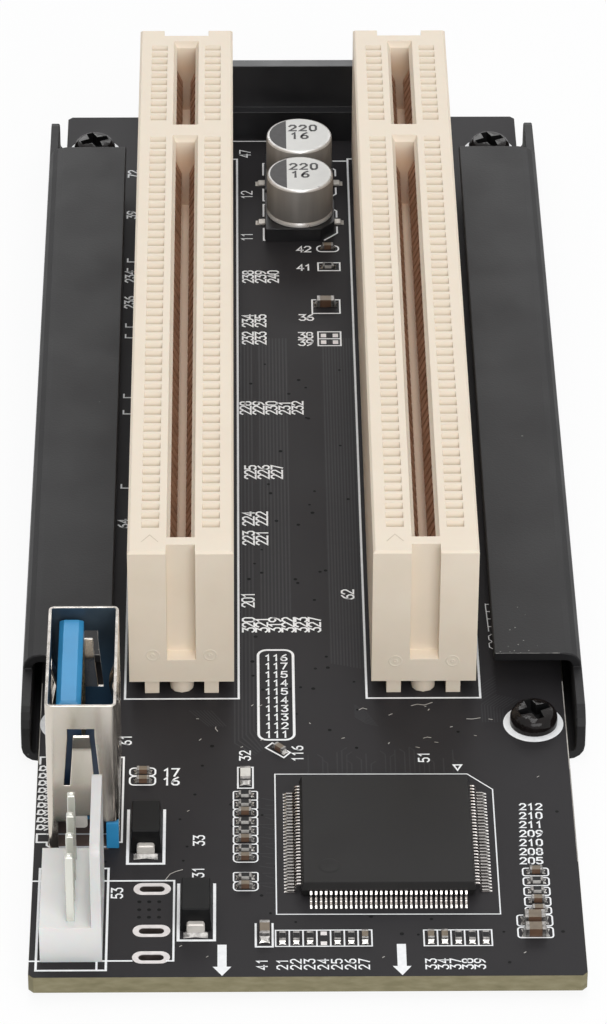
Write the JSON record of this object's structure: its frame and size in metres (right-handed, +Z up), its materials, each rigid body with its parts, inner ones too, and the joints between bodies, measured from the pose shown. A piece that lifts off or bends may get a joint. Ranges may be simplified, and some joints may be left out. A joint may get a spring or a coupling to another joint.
{
  "type": "expansion card adapter",
  "caption": "Narrow black adapter board with upright ivory card slots, a bridge chip, an upright blue USB socket, power inputs and folded black side rails.",
  "frame": {"origin": "middle of the bounding box's lower face, level with the undersides of the side rails", "axes": "+Z up out of the card slots, +Y along the board away from the bridge chip's end, +X to the right seen from that end"},
  "size_m": [0.047, 0.134, 0.0173],
  "materials": {
    "board": "black solder mask, satin",
    "slot_plastic": "ivory moulded plastic",
    "slot_contact": "dull plated spring metal",
    "chip_plastic": "fine matt moulding",
    "tinned_lead": "tinned",
    "socket_shell": "bright nickel plate",
    "socket_blue": "blue moulded plastic",
    "gold_contact": "gold flash",
    "header_white": "natural white, slightly translucent",
    "header_pin": "tinned",
    "black_plastic": "black moulded plastic",
    "can_aluminium": "satin drawn can",
    "diode_plastic": "black moulding",
    "led_plastic": "clear over pale base",
    "resistor_black": "black glaze",
    "capacitor_tan": "tan ceramic",
    "rail_paint": "black powder coat, fine texture",
    "screw_black": "black plated"
  },
  "bodies": {
    "root": {"circuit_board": "board", "left_slot_housing": "slot_plastic", "right_slot_housing": "slot_plastic", "left_slot_contacts": "slot_contact", "right_slot_contacts": "slot_contact", "bridge_chip_body": "chip_plastic", "bridge_chip_leads": "tinned_lead", "usb_socket_shell": "socket_shell", "usb_socket_insulator": "socket_blue", "usb_socket_contacts": "gold_contact", "power_header_housing": "header_white", "power_header_pins": "header_pin", "rear_power_housing": "black_plastic", "rear_power_contacts": "gold_contact", "front_capacitor_can": "can_aluminium", "rear_capacitor_can": "can_aluminium", "front_capacitor_base": "black_plastic", "rear_capacitor_base": "black_plastic", "capacitor_terminals": "tinned_lead", "left_diode_body": "diode_plastic", "right_diode_body": "diode_plastic", "diode_terminals": "tinned_lead", "indicator_led": "led_plastic", "chip_resistors": "resistor_black", "ceramic_capacitors": "capacitor_tan", "left_rail": "rail_paint", "right_rail": "rail_paint", "rail_screws": "screw_black"}
  },
  "joints": []
}
